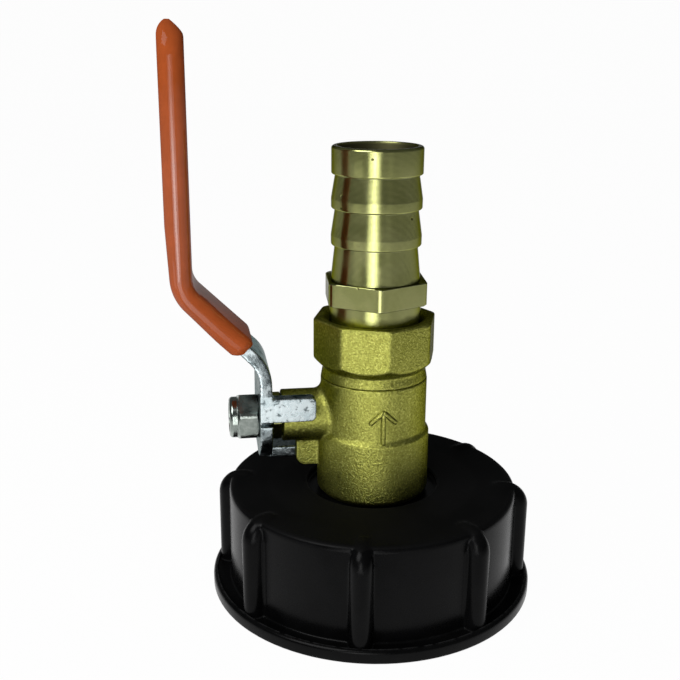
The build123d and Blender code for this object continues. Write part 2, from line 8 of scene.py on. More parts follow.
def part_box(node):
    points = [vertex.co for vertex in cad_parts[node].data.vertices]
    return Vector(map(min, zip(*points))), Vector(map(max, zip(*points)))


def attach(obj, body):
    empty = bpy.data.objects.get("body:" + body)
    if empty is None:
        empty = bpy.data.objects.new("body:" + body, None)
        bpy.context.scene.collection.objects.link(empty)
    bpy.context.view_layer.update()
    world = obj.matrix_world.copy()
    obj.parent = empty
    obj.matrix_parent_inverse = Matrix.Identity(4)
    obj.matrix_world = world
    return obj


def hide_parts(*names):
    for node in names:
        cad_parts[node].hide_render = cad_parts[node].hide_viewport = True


# Container outlet adapter: black screw cap, brass lever ball valve and barbed hose tail.
# Lengths are written in millimetres and turned into metres where a mesh is made.
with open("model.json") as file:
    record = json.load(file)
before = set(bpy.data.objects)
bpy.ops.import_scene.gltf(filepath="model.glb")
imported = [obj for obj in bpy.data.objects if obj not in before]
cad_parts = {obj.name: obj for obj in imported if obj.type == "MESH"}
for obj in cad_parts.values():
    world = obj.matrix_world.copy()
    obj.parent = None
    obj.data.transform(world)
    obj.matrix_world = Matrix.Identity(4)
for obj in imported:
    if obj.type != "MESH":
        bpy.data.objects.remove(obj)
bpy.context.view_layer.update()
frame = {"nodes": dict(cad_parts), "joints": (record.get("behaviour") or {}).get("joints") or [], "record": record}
MM = 0.001
SHARP_DEG = 40.0


def level(node, end):
    """Height of a node's lower (0) or upper (1) end in millimetres."""
    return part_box(node)[end].z / MM


# Screw cap
CAP_H = 25.2
CAP_WALL_R = 34.2
CAP_EDGE = 1.2
CAP_FOOT_ROUND = 0.5
CAP_ROOF_Z = 20.0
THREAD_R = frame["record"]["mounts"][0]["dims"]["r_mm"]
THREAD_DEPTH = 1.8
THREAD_PITCH = 6.0
THREAD_FADE = 2.5
THREAD_HALF = 0.42
THREAD_FLANK = 0.17
THREAD_ROWS = 40
FLANGE_R = 38.5
FLANGE_H = 3.2
FLANGE_FLOOR = 2.3
FLANGE_DISH_R = 37.45
GASKET_SEAT_R = 30.4
GASKET_Z = 17.5
RECESS_R = 15.6
RECESS_Z = 23.5
SPIGOT_R = 10.42
SPIGOT_TOP = 31.2
SPIGOT_BORE_R = 7.0
RIB_COUNT = 8
RIB_START_DEG = 31.0
RIB_R = 2.5
RIB_OUT = 3.2
RIB_PROUD = 0.6
RIB_END_R = 28.2
RIB_NOSE = 2.0
RIB_BEND = 3.0
RIB_BLEND = 0.12
RIB_ROOT = ((0.9, -1.2), (0.45, -0.68), (0.17, -0.5), (0.03, -0.2))
RIB_PITCH = 2 * pi / RIB_COUNT
COLUMNS_BETWEEN_RIBS = 9

# Hose tail
TAIL_LOW_Z = level("hose_tail", 0)
TAIL_TOP_Z = level("hose_tail", 1)
CONNECTOR_TOP_Z = level("end_connector", 1)
TAIL_BORE_R = 7.6
TAIL_THREAD_R = 10.42
TAIL_COLLAR_R = 10.5
TAIL_COLLAR_LOW_Z = CONNECTOR_TOP_Z - 0.4
TAIL_HEX_Z = CONNECTOR_TOP_Z + 3.6
TAIL_HEX_H = 5.2
TAIL_HEX_CORNER = 0.45
TAIL_HEX_EASE = 0.28
TAIL_COLUMNS = 96
TAIL_AF = 22.0
TAIL_TURN_DEG = -94.3
BARB_R = 10.2
BARB_NOTCH_R = 9.35
BARB_NOTCHES = (7.65, 15.8, 23.35)
BARB_LIP_H = 2.3
BARB_LIP_ROUND = 0.4
BARB_MOUTH_R = 8.85
BARB_MOUTH_DEPTH = 6.0

# Stem axis and lock nut, measured outwards along the stem
STEM_Z = frame["joints"][0]["pos_m"][2] / MM
NUT_START = -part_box("lock_nut")[1].x / MM
NUT_END = -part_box("lock_nut")[0].x / MM
NUT_AF = 10.0
NUT_TURN_DEG = 21.0
NUT_CORNER = 0.75
NUT_EASE = 0.15
NUT_COLUMNS = 72
NUT_BORE_R = 3.05
NUT_COLLAR_R = 4.75
NUT_COLLAR_H = 1.9
NUT_ROLL = 0.85
NUT_LIP = 0.45
NUT_LIP_R = 3.5
INSERT_R = 4.0

HEX_EDGE = 0.12

# Grip sleeve
LEVER_T = 2.8
LEVER_W = 14.0
LEVER_SLOPE_DEG = 44.0
LEVER_SLOPE = Vector((-cos(radians(LEVER_SLOPE_DEG)), 0, sin(radians(LEVER_SLOPE_DEG))))
LEVER_BEND = 8.0
LEVER_KNEE = Vector((-25.85, 0, STEM_Z + 13.7))
LEVER_OUT = 17.95
LEVER_TIP_ROUND = 6.0
GRIP_START = 7.2
GRIP_TOP_Z = level("grip_sleeve", 1)
GRIP_SKIN = 1.35
GRIP_SIDE = 1.2
GRIP_CAP = 2.2
GRIP_ROUND = 2.5
GRIP_PLAY = 0.05
GRIP_POCKET_ROUND = 0.2
GRIP_TIP_ROUND = 0.92
GRIP_COLUMNS = 56
GRIP_LIP = 0.6
GRIP_LIP_STEPS = (0, 0.1, 0.2, 0.4, GRIP_LIP, 2.5)
GRIP_LIP_ROWS = 6
GRIP_LIP_THIN = 0.75
GRIP_RAGGED = 0.8
GRIP_RIPPLES = 0.55
GRIP_LIP_LONG = 0.3
GRIP_LIP_SLANT = 1.8
GRIP_ELBOW_THIN = 0.22
GRIP_ELBOW_REACH = 15.0
GRIP_TIP_DROP = 3.3
GRIP_TIP_SLANT = 3.0
GRIP_TIP_CURVE = 1.4
GRIP_TIP_ARC_R = 3.75
GRIP_DULL_Z = 60.0
GRIP_GLOSS_Z = 82.0
GRIP_TIP_DULL = 8.0
GRIP_TIP_GLOSS = 34.0

# Cast arrow
MARK_W = 1.2
MARK_H = 0.7
ARROW_LENGTH = 8.6
ARROW_HEAD = 3.2
BODY_R = 12.4

# Softened nodes: size of the even skin's cells and passes of smoothing
SOFTENED = (
    ("valve_body", 0.3, 3),
    ("end_connector", 0.3, 3),
    ("lever", 0.25, 3),
    ("gland_nut", 0.2, 3),
)

# Stage, in metres: floor, its white paper below and behind the object, and the soft panels
FLOOR_Z = -0.0001
FLOOR_HALF = 2.5
FLOOR_REACH = 2.0
FLOOR_BEND = 0.1
FLOOR_WALL = 0.27
FLOOR_GREY = (0.46, 0.46, 0.46)
PAPER_FRONT = -0.045
PAPER_HALF = 0.097
PAPER_SPREAD = 0.34
PAPER_FRONT_FADE = 0.05
PAPER_SIDE_FADE = 0.14
PAPER_GLOW = 0.975
SURROUNDINGS = (0.10, 0.104, 0.104)
LAMPS = (
    ("front_strip", (-9.0, 0.26, 0.07), (0.12, 0.14), 0.0, 2.3),
    ("front_line", (-8.0, 0.25, 0.08), (0.03, 0.12), 0.0, 4.0),
    ("left_card", (-50.0, 0.29, 0.004), (0.12, 0.14), 89.0, 0.75),
    ("front_card", (-9.0, 0.17, 0.004), (0.09, 0.14), 89.0, 2.4),
    ("right_strip", (30.0, 0.30, 0.05), (0.07, 0.1), 0.0, 0.12),
    ("right_card", (22.0, 0.14, 0.004), (0.05, 0.1), 89.0, 0.35),
    ("high_box", (-45.0, 0.45, 0.55), (0.4, 0.4), -50.0, 5.2),
)

# Camera
CAMERA_AT = (-41.52, -213.60, 126.20)
CAMERA_HEADING_DEG = 81.09
CAMERA_PITCH_DEG = -16.90
CAMERA_ROLL_DEG = 0.44
CAMERA_LENS = 52.03
CAMERA_SENSOR = 36.0


# Shader nodes

def place(tree, kind, sockets=None, **settings):
    """Add one shader node, set its properties and feed its sockets with values or other nodes' outputs."""
    node = tree.nodes.new("ShaderNode" + kind)
    for key, value in settings.items():
        setattr(node, key, value)
    for key, value in (sockets or {}).items():
        feed(tree, node.inputs[key], value)
    return node


def feed(tree, socket, value):
    """Link a socket to another node's output, or set its own value."""
    if isinstance(value, bpy.types.NodeSocket):
        tree.links.new(value, socket)
    else:
        socket.default_value = value


def math(tree, operation, first, second=0.0):
    return place(tree, "Math", {0: first, 1: second}, operation=operation).outputs[0]


def spread(tree, value, low, high, new_low=0.0, new_high=1.0):
    """Map a value from one range to another, smoothly and within its ends."""
    sockets = {"Value": value, 1: low, 2: high, 3: new_low, 4: new_high}
    return place(tree, "MapRange", sockets, interpolation_type="SMOOTHSTEP").outputs[0]


def blend(tree, share, first, second):
    """Mix two colours."""
    node = place(tree, "Mix", data_type="RGBA")
    for index, value in ((0, share), (6, first), (7, second)):
        feed(tree, node.inputs[index], value)
    return node.outputs[2]


def millimetres(tree):
    """Position on the piece in millimetres."""
    where = place(tree, "TexCoord").outputs["Object"]
    return place(tree, "VectorMath", {0: where, 3: 1 / MM}, operation="SCALE").outputs[0]


def speckle(tree, where, size, detail=2.0, rough=0.5):
    """Cloudy noise whose lumps have about the given size in millimetres."""
    sockets = {"Vector": where, "Scale": 1 / size, "Detail": detail, "Roughness": rough}
    return place(tree, "TexNoise", sockets).outputs["Fac"]


def effect(name, inputs, outputs):
    """Empty node group with float sockets; returns it with its input and output nodes."""
    tree = bpy.data.node_groups.new(name, "ShaderNodeTree")
    for label, value in inputs.items():
        tree.interface.new_socket(label, in_out="INPUT", socket_type="NodeSocketFloat").default_value = value
    for label in outputs:
        tree.interface.new_socket(label, in_out="OUTPUT", socket_type="NodeSocketFloat")
    given = tree.nodes.new("NodeGroupInput").outputs
    result = tree.nodes.new("NodeGroupOutput").inputs
    return tree, given, result


def grain_effect():
    """Lumpy skin of a sand casting or a moulding: height of the lumps and a mask of the low spots."""
    tree, given, result = effect("skin grain", {"Size": 1.0}, ("Height", "Hollows"))
    where = millimetres(tree)
    scale = math(tree, "DIVIDE", 1.0, given["Size"])
    sockets = {"Vector": where, "Scale": scale, "Detail": 3.0, "Roughness": 0.6}
    lumps = place(tree, "TexNoise", sockets).outputs["Fac"]
    tree.links.new(lumps, result["Height"])
    tree.links.new(spread(tree, lumps, 0.5, 0.32), result["Hollows"])
    return tree


def edge_wear_and_highlight_effect():
    """Edge mask, partly rubbed wear and partly painted highlights: it is 1 where the surface turns sharply."""
    tree, given, result = effect("rubbed edges and painted highlights", {"Width": 0.4, "Amount": 1.0}, ("Mask",))
    width = math(tree, "MULTIPLY", given["Width"], MM)
    soft = place(tree, "Bevel", {"Radius": width}, samples=4).outputs[0]
    true = place(tree, "NewGeometry").outputs["Normal"]
    same = place(tree, "VectorMath", {0: soft, 1: true}, operation="DOT_PRODUCT").outputs["Value"]
    edge = spread(tree, same, 0.985, 0.85)
    patchy = spread(tree, speckle(tree, millimetres(tree), 1.6), 0.3, 0.62)
    mask = math(tree, "MULTIPLY", math(tree, "MULTIPLY", edge, patchy), given["Amount"])
    tree.links.new(mask, result["Mask"])
    return tree


def smudge_effect():
    """Handling marks: a slow change over the surface, from -1 to 1."""
    tree, given, result = effect("handling smudges", {"Size": 9.0}, ("Shift",))
    scale = math(tree, "DIVIDE", 1.0, given["Size"])
    sockets = {"Vector": millimetres(tree), "Scale": scale, "Detail": 4.0, "Roughness": 0.6}
    cloud = place(tree, "TexNoise", sockets).outputs["Fac"]
    tree.links.new(spread(tree, cloud, 0.3, 0.7, -1.0, 1.0), result["Shift"])
    return tree


def pit_effect():
    """Scattered small pits: a mask that is 1 inside a pit."""
    tree, given, result = effect("small pits", {"Spacing": 4.0, "Share": 0.3}, ("Mask",))
    scale = math(tree, "DIVIDE", 1.0, given["Spacing"])
    cells = place(tree, "TexVoronoi", {"Vector": millimetres(tree), "Scale": scale, "Randomness": 1.0})
    near = spread(tree, cells.outputs["Distance"], 0.13, 0.05)
    pick = place(tree, "SeparateColor", {0: cells.outputs["Color"]}).outputs[0]
    chosen = math(tree, "LESS_THAN", pick, given["Share"])
    tree.links.new(math(tree, "MULTIPLY", near, chosen), result["Mask"])
    return tree


def tool_effect():
    """Fine rings that a lathe tool leaves, counted along Z: their height."""
    tree, given, result = effect("tool rings", {"Pitch": 0.22}, ("Height",))
    where = millimetres(tree)
    along = place(tree, "SeparateXYZ", {0: where}).outputs["Z"]
    wander = math(tree, "MULTIPLY", speckle(tree, where, 2.5), 0.12)
    turns = math(tree, "DIVIDE", math(tree, "ADD", along, wander), given["Pitch"])
    tree.links.new(math(tree, "SINE", math(tree, "MULTIPLY", turns, 2 * pi)), result["Height"])
    return tree


def dull_bore_and_shade_effect():
    """Dull, shaded inside of a bored hole about the flow axis: a mask that is 1 within a radius, which makes the
    finish rougher and paints shade there.
    """
    tree, given, result = effect("dull bore and painted shade", {"Radius": 9.0}, ("Mask",))
    flat = place(tree, "VectorMath", {0: millimetres(tree), 1: (1, 1, 0)}, operation="MULTIPLY").outputs[0]
    radius = place(tree, "VectorMath", {0: flat}, operation="LENGTH").outputs["Value"]
    inside = math(tree, "SUBTRACT", given["Radius"], radius)
    tree.links.new(spread(tree, inside, -0.05, 0.15), result["Mask"])
    return tree


EFFECTS = {
    "grain": grain_effect(), "edge_wear_and_highlight": edge_wear_and_highlight_effect(), "smudge": smudge_effect(), "pits": pit_effect(),
    "rings": tool_effect(), "bore": dull_bore_and_shade_effect(),
}


def use(tree, name, **values):
    """Place one of the shared effects in a material."""
    node = tree.nodes.new("ShaderNodeGroup")
    node.node_tree = EFFECTS[name]
    for key, value in values.items():
        feed(tree, node.inputs[key], value)
    return node.outputs


def bump(tree, height, depth_mm, under=None):
    """Normal that follows a height of the given depth."""
    sockets = {"Height": height, "Strength": 1.0, "Distance": depth_mm * MM}
    if under is not None:
        sockets["Normal"] = under
    return place(tree, "Bump", sockets).outputs[0]


def finish_of(name):
    """New material with its tree and its surface shader."""
    material = bpy.data.materials.new(name)
    material.use_nodes = True
    tree = material.node_tree
    shader = tree.nodes["Principled BSDF"]
    return material, tree, shader


def set_sockets(tree, shader, **values):
    """Feed a shader's sockets; underscores stand for the blanks in their names."""
    labels = {label.replace(" ", "_").lower(): label for label in shader.inputs.keys()}
    for key, value in values.items():
        feed(tree, shader.inputs[labels[key]], value)


def around(tree, middle, swing, shift):
    """Value that swings about its middle with a shift from -1 to 1."""
    return math(tree, "ADD", math(tree, "MULTIPLY", shift, swing), middle)


def clouded(tree, shift, first, second):
    """Colour that drifts between two tones with a shift from -1 to 1."""
    return blend(tree, spread(tree, shift, -1.0, 1.0), (*first, 1), (*second, 1))


# Finishes

def cap_plastic():
    """Satin black moulded plastic with a faint skin, lighter edges that are partly scuffs and partly painted
    highlights, and a little dust.
    """
    material, tree, shader = finish_of("cap_plastic")
    smudge = use(tree, "smudge", Size=14.0)["Shift"]
    edge_wear_and_highlight = use(tree, "edge_wear_and_highlight", Width=0.7, Amount=0.5)["Mask"]
    skin = use(tree, "grain", Size=0.5)["Height"]
    height = place(tree, "SeparateXYZ", {0: millimetres(tree)}).outputs["Z"]
    roof = spread(tree, height, CAP_H - 0.6, CAP_H - 0.1, 0.0, 0.45)
    dark = clouded(tree, smudge, (0.0018, 0.0018, 0.0019), (0.0034, 0.0034, 0.0036))
    set_sockets(
        tree, shader,
        base_color=blend(tree, edge_wear_and_highlight, dark, (0.045, 0.045, 0.046, 1)),
        roughness=math(tree, "ADD", around(tree, 0.25, 0.04, smudge), roof),
        normal=bump(tree, skin, 0.015),
        specular_ior_level=0.075,
    )
    return material


def cast_brass():
    """Blasted sand-cast brass: yellow-green, grainy, with dark hollows, bright edges that are partly rubbed and
    partly painted highlights, and a dark edge tint that paints shade on its grazing sides.
    """
    material, tree, shader = finish_of("cast_brass")
    coarse = use(tree, "grain", Size=0.45)
    fine = use(tree, "grain", Size=0.2)
    smudge = use(tree, "smudge", Size=7.0)["Shift"]
    edge_wear_and_highlight = use(tree, "edge_wear_and_highlight", Width=0.5, Amount=0.45)["Mask"]
    tone = clouded(tree, smudge, (0.33, 0.335, 0.068), (0.39, 0.395, 0.085))
    tone = blend(tree, math(tree, "MULTIPLY", coarse["Hollows"], 0.5), tone, (0.13, 0.135, 0.025, 1))
    peaks = spread(tree, coarse["Height"], 0.52, 0.66, 0.0, 0.6)
    tone = blend(tree, peaks, tone, (0.70, 0.70, 0.19, 1))
    tone = blend(tree, edge_wear_and_highlight, tone, (0.66, 0.66, 0.28, 1))
    normal = bump(tree, fine["Height"], 0.06, bump(tree, coarse["Height"], 0.17))
    set_sockets(
        tree, shader,
        base_color=tone, metallic=1.0, normal=normal,
        roughness=around(tree, 0.33, 0.05, smudge),
        # Dark edge tint: painted shade on the grazing sides, where reflections of the bright surroundings are held
        # down.
        specular_tint=(0.06, 0.06, 0.04, 1),
    )
    return material


def turned_brass():
    """Bright turned brass with fine tool rings, a few pits, a thin tarnish, bright edges that are partly rubbed
    and partly painted highlights, painted shade in the bore and a dark edge tint that paints shade on its grazing
    sides.
    """
    material, tree, shader = finish_of("turned_brass")
    smudge = use(tree, "smudge", Size=6.0)["Shift"]
    pits = use(tree, "pits", Spacing=3.0, Share=0.2)["Mask"]
    rings = use(tree, "rings", Pitch=0.24)["Height"]
    edge_wear_and_highlight = use(tree, "edge_wear_and_highlight", Width=0.35, Amount=0.6)["Mask"]
    tone = clouded(tree, smudge, (0.36, 0.375, 0.140), (0.42, 0.43, 0.176))
    tone = blend(tree, edge_wear_and_highlight, tone, (0.80, 0.80, 0.52, 1))
    tone = blend(tree, pits, tone, (0.08, 0.07, 0.02, 1))
    # Painted shade in the bore: the inside of the mouth is darkened in colour, and made rougher.
    bore = use(tree, "bore", Radius=BARB_MOUTH_R)["Mask"]
    tone = blend(tree, bore, tone, (0.10, 0.095, 0.045, 1))
    normal = bump(tree, pits, -0.12, bump(tree, rings, 0.004))
    rough = math(tree, "ADD", around(tree, 0.2, 0.05, smudge), math(tree, "MULTIPLY", bore, 0.4))
    set_sockets(
        tree, shader,
        base_color=tone, metallic=1.0, normal=normal, roughness=rough,
        # Dark edge tint: painted shade on the tail's grazing sides.
        specular_tint=(0.22, 0.22, 0.17, 1),
    )
    return material


def plated_steel():
    """Zinc-plated sheet steel: bluish, bright, with rolled waves, fine scratches, and bright edges that are partly
    rubbed and partly painted highlights.
    """
    material, tree, shader = finish_of("plated_steel")
    smudge = use(tree, "smudge", Size=3.5)["Shift"]
    skin = use(tree, "grain", Size=1.5)
    edge_wear_and_highlight = use(tree, "edge_wear_and_highlight", Width=0.3, Amount=0.8)["Mask"]
    tone = clouded(tree, smudge, (0.26, 0.305, 0.315), (0.46, 0.515, 0.525))
    marks = spread(tree, skin["Height"], 0.47, 0.34, 0.0, 0.9)
    tone = blend(tree, marks, tone, (0.05, 0.066, 0.07, 1))
    tone = blend(tree, edge_wear_and_highlight, tone, (0.72, 0.77, 0.78, 1))
    set_sockets(
        tree, shader,
        base_color=tone, metallic=1.0, specular_tint=(0.26, 0.31, 0.30, 1),
        roughness=around(tree, 0.26, 0.07, smudge),
        normal=bump(tree, skin["Height"], 0.05),
    )
    return material


def plated_nut():
    """Bright plated nut steel, with bright edges that are partly rubbed and partly painted highlights."""
    material, tree, shader = finish_of("plated_nut")
    smudge = use(tree, "smudge", Size=2.5)["Shift"]
    skin = use(tree, "grain", Size=0.6)
    edge_wear_and_highlight = use(tree, "edge_wear_and_highlight", Width=0.25, Amount=0.8)["Mask"]
    tone = clouded(tree, smudge, (0.25, 0.285, 0.26), (0.38, 0.42, 0.385))
    tone = blend(tree, edge_wear_and_highlight, tone, (0.9, 0.92, 0.92, 1))
    set_sockets(
        tree, shader,
        base_color=tone, metallic=1.0,
        roughness=around(tree, 0.2, 0.06, smudge),
        normal=bump(tree, skin["Height"], 0.03),
    )
    return material


def grip_plastic():
    """Orange-red dipped vinyl with a slightly wavy skin, whose gloss is rubbed off towards both ends."""
    material, tree, shader = finish_of("grip_plastic")
    smudge = use(tree, "smudge", Size=8.0)["Shift"]
    waves = use(tree, "grain", Size=4.0)["Height"]
    height = place(tree, "SeparateXYZ", {0: millimetres(tree)}).outputs["Z"]
    gloss = spread(tree, height, GRIP_DULL_Z, GRIP_GLOSS_Z, 0.07, 0.31)
    near_tip = spread(tree, height, GRIP_TOP_Z - GRIP_TIP_DULL, GRIP_TOP_Z - GRIP_TIP_GLOSS, 0.25, 1.0)
    tone = clouded(tree, smudge, (0.40, 0.080, 0.018), (0.46, 0.093, 0.023))
    set_sockets(
        tree, shader,
        base_color=tone,
        roughness=around(tree, 0.55, 0.05, smudge),
        normal=bump(tree, waves, 0.05),
        specular_ior_level=0.0,
        coat_weight=math(tree, "MULTIPLY", gloss, near_tip), coat_roughness=0.04, coat_ior=2.2,
    )
    return material


def plain_finish(name, low, high, rough, size, depth, metallic=0.0):
    """Finish of a small inner piece: two tones in slow clouds and a fine skin."""
    material, tree, shader = finish_of(name)
    smudge = use(tree, "smudge", Size=5.0)["Shift"]
    skin = use(tree, "grain", Size=size)["Height"]
    set_sockets(
        tree, shader,
        base_color=clouded(tree, smudge, low, high), metallic=metallic,
        roughness=around(tree, rough, 0.05, smudge),
        normal=bump(tree, skin, depth),
    )
    return material


FINISHES = {
    "cap_plastic": cap_plastic(),
    "cast_brass": cast_brass(),
    "turned_brass": turned_brass(),
    "plated_steel": plated_steel(),
    "plated_nut": plated_nut(),
    "grip_plastic": grip_plastic(),
    "seal_rubber": plain_finish("seal_rubber", (0.010, 0.010, 0.010), (0.018, 0.018, 0.018), 0.65, 0.4, 0.03),
    "seat_plastic": plain_finish("seat_plastic", (0.78, 0.78, 0.75), (0.86, 0.86, 0.83), 0.4, 0.6, 0.01),
    "ball_chrome": plain_finish("ball_chrome", (0.72, 0.72, 0.73), (0.8, 0.8, 0.8), 0.12, 2.0, 0.003, 1.0),
    "insert_plastic": plain_finish("insert_plastic", (0.7, 0.73, 0.76), (0.8, 0.82, 0.84), 0.4, 0.5, 0.01),
}


# Mesh making

def add_piece(name, points, faces, body, slot, replaced=()):
    """New smooth piece from points in millimetres that rides on a body and stands for frame nodes."""
    mesh = bpy.data.meshes.new(name)
    mesh.from_pydata([Vector(p) * MM for p in points], [], faces)
    mesh.shade_smooth()
    mesh.set_sharp_from_angle(angle=radians(SHARP_DEG))
    mesh.materials.append(FINISHES[slot])
    piece = bpy.data.objects.new(name, mesh)
    bpy.context.scene.collection.objects.link(piece)
    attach(piece, body)
    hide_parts(*replaced)
    return piece


def grid_faces(rows, columns, closed):
    """Quads of a grid whose columns go all the way round; closed rows join the last to the first."""
    faces = []
    for i in range(rows if closed else rows - 1):
        low, high = i * columns, (i + 1) % rows * columns
        for j in range(columns):
            k = (j + 1) % columns
            faces.append((low + j, low + k, high + k, high + j))
    return faces


def rounded(corners, step_deg=12.0):
    """Points of an open outline; each corner is (radius, height, round), and its ends stay sharp."""
    outline = [Vector(corners[0][:2])]
    for before, corner, after in zip(corners, corners[1:], corners[2:]):
        here, size = Vector(corner[:2]), corner[2]
        into = (here - Vector(before[:2])).normalized()
        out = (Vector(after[:2]) - here).normalized()
        turn = into.angle(out)
        if size == 0 or turn < radians(1):
            outline.append(here)
            continue
        inward = (out - into * into.dot(out)).normalized()
        start = here - into * size * tan(turn / 2)
        steps = max(2, round(degrees(turn) / step_deg))
        for i in range(steps + 1):
            angle = turn * i / steps
            outline.append(start + inward * size * (1 - cos(angle)) + into * size * sin(angle))
    return outline + [Vector(corners[-1][:2])]


def hex_ring(across_flats, columns, ease):
    """Radius at each column of a hexagon with a corner at column 0, its corners eased by a small turn."""
    per_side = columns // 6
    half = across_flats / 2
    limit = half / cos(radians(30)) - ease
    return [min(half / cos((j % per_side / per_side - 0.5) * pi / 3), limit) for j in range(columns)]


def hexagon_rows(across_flats, low, high, columns, corner, ease):
    """Four rows of a hexagon whose corners are turned back at both ends by a radial length."""
    radii = hex_ring(across_flats, columns, ease)
    foot = across_flats / 2 / cos(radians(30)) - corner
    slope = tan(radians(30))
    return [
        [(min(r, foot) - HEX_EDGE, low) for r in radii],
        [(r, low + max(r - foot, 0) * slope + HEX_EDGE) for r in radii],
        [(r, high - max(r - foot, 0) * slope - HEX_EDGE) for r in radii],
        [(min(r, foot) - HEX_EDGE, high) for r in radii],
    ]


def turned_points(rows, turn_deg=0.0):
    """Points round the Z axis for rows that hold a radius and a height for each column."""
    points = []
    for row in rows:
        for j, (radius, height) in enumerate(row):
            angle = radians(turn_deg) + 2 * pi * j / len(row)
            points.append(Vector((radius * cos(angle), radius * sin(angle), height)))
    return points


# Screw cap

def rib_section():
    """Columns across one rib: sideways offset and height over the rib's axis."""
    root = [(RIB_R + side, up) for side, up in RIB_ROOT]
    arc = [(RIB_R * cos(a), RIB_R * sin(a)) for a in (radians(15 * i) for i in range(13))]
    return root + arc + [(-side, up) for side, up in reversed(root)]


def roof_edge_distance(axis, ahead):
    """Distance from a rib's axis to the cap's rounded top edge, along the rib's outward direction."""
    centre = Vector((CAP_WALL_R - CAP_EDGE, CAP_H - CAP_EDGE))
    low, high = -RIB_OUT, 2 * RIB_OUT
    for _ in range(30):
        middle = (low + high) / 2
        gap = axis + ahead * middle - centre
        outside = Vector((max(gap.x, 0), max(gap.y, 0))).length + min(max(gap.x, gap.y), 0) - CAP_EDGE
        if outside > 0:
            high = middle
        else:
            low = middle
    return middle


def ribbed_stations():
    """Stations from the flange's floor over the wall and its top edge to the inner end of the ribs.

    Each is a point on the plain cap, the direction in which a rib grows there, the height of the cap
    over the rib's axis, and the share of the rib's height that moves the point."""
    sunk = RIB_R - RIB_OUT
    outwards, upwards = Vector((1, 0)), Vector((0, 1))
    bend_r = CAP_WALL_R - sunk - RIB_BEND
    bend_z = CAP_H + RIB_PROUD - RIB_R - RIB_BEND
    stations = []
    foot = rounded([
        (FLANGE_DISH_R, FLANGE_FLOOR), (CAP_WALL_R, FLANGE_FLOOR, CAP_FOOT_ROUND), (CAP_WALL_R, bend_z),
    ])
    for point in foot[1:-1]:
        share = (FLANGE_DISH_R - point.x) / (FLANGE_DISH_R - CAP_WALL_R)
        stations.append((point, outwards, sunk, share))
    wall_start = FLANGE_FLOOR + CAP_FOOT_ROUND
    for i in range(1, 9):
        height = wall_start + (bend_z - wall_start) * i / 9
        stations.append((Vector((CAP_WALL_R, height)), outwards, sunk, 1.0))
    for angle in (radians(5 * i) for i in range(19)):
        ahead = Vector((cos(angle), sin(angle)))
        axis = Vector((bend_r, bend_z)) + ahead * RIB_BEND
        deep = roof_edge_distance(axis, ahead)
        stations.append((axis + ahead * deep, ahead, deep, 1.0))
    for i in range(1, 7):
        radius = bend_r + (RIB_END_R - bend_r) * i / 6
        drop = max(0.0, RIB_END_R + RIB_NOSE - radius) / RIB_NOSE * 2 * RIB_PROUD
        stations.append((Vector((radius, CAP_H)), upwards, RIB_R - RIB_PROUD + drop, 1.0))
    return stations


def thread_ridge(height, angle):
    """Depth of the cap's inner thread at a height and an angle."""
    phase = (height / THREAD_PITCH - angle / (2 * pi)) % 1.0
    flank = min(max((THREAD_HALF - abs(phase - 0.5)) / THREAD_FLANK, 0.0), 1.0)
    ends = min(height, GASKET_Z - height) / THREAD_FADE
    return THREAD_DEPTH * flank * flank * (3 - 2 * flank) * min(max(ends, 0.0), 1.0)


def screw_cap():
    """Cap with dished flange, half-round ribs that bend over the roof, and the coarse thread inside."""
    section = rib_section()
    flange = rounded([
        (THREAD_R + 0.6, 0, 0), (FLANGE_R, 0, 0.5), (FLANGE_R, FLANGE_H, 1.0),
        (FLANGE_DISH_R + 0.1, FLANGE_H, 0.2), (FLANGE_DISH_R, FLANGE_FLOOR, 0.15),
        (FLANGE_DISH_R - 0.6, FLANGE_FLOOR, 0),
    ])[:-1]
    inside = rounded([
        (RIB_END_R - 1, CAP_H, 0), (RECESS_R, CAP_H, 0.35), (RECESS_R, RECESS_Z, 0.3),
        (SPIGOT_R, RECESS_Z, 0.2), (SPIGOT_R, SPIGOT_TOP, 0.5), (SPIGOT_BORE_R, SPIGOT_TOP, 0.3),
        (SPIGOT_BORE_R, CAP_ROOF_Z, 0.3),
        (GASKET_SEAT_R, CAP_ROOF_Z, 0.2), (GASKET_SEAT_R, GASKET_Z, 0.1), (THREAD_R, GASKET_Z, 0),
    ])
    plain = [(point, None) for point in flange]
    plain_inside = [(point, None) for point in inside]
    stations = plain + [(s[0], s) for s in ribbed_stations()] + plain_inside
    thread = [GASKET_Z * (1 - i / THREAD_ROWS) for i in range(1, THREAD_ROWS)]
    points = []
    columns = RIB_COUNT * (len(section) + COLUMNS_BETWEEN_RIBS)
    for point, rib in stations:
        points += cap_row(point, rib, section)
    for height in thread:
        for angle in cap_angles(THREAD_R, section):
            radius = THREAD_R - thread_ridge(height, angle)
            points.append(Vector((radius * cos(angle), radius * sin(angle), height)))
    return add_piece(
        "ribbed_cap", points, grid_faces(len(points) // columns, columns, True), "housing", "cap_plastic",
        ("screw_cap",),
    )


def cap_angles(radius, section):
    """Angles of all columns at a radius: the columns of each rib, then those up to the next rib."""
    angles = []
    steps = COLUMNS_BETWEEN_RIBS + 1
    reach = section[0][0] / max(radius, RIB_END_R)
    gap = RIB_PITCH - 2 * reach
    for i in range(RIB_COUNT):
        middle = radians(RIB_START_DEG) + i * RIB_PITCH
        angles += [middle - side / max(radius, RIB_END_R) for side, _ in section]
        angles += [middle + reach + gap * j / steps for j in range(1, steps)]
    return angles


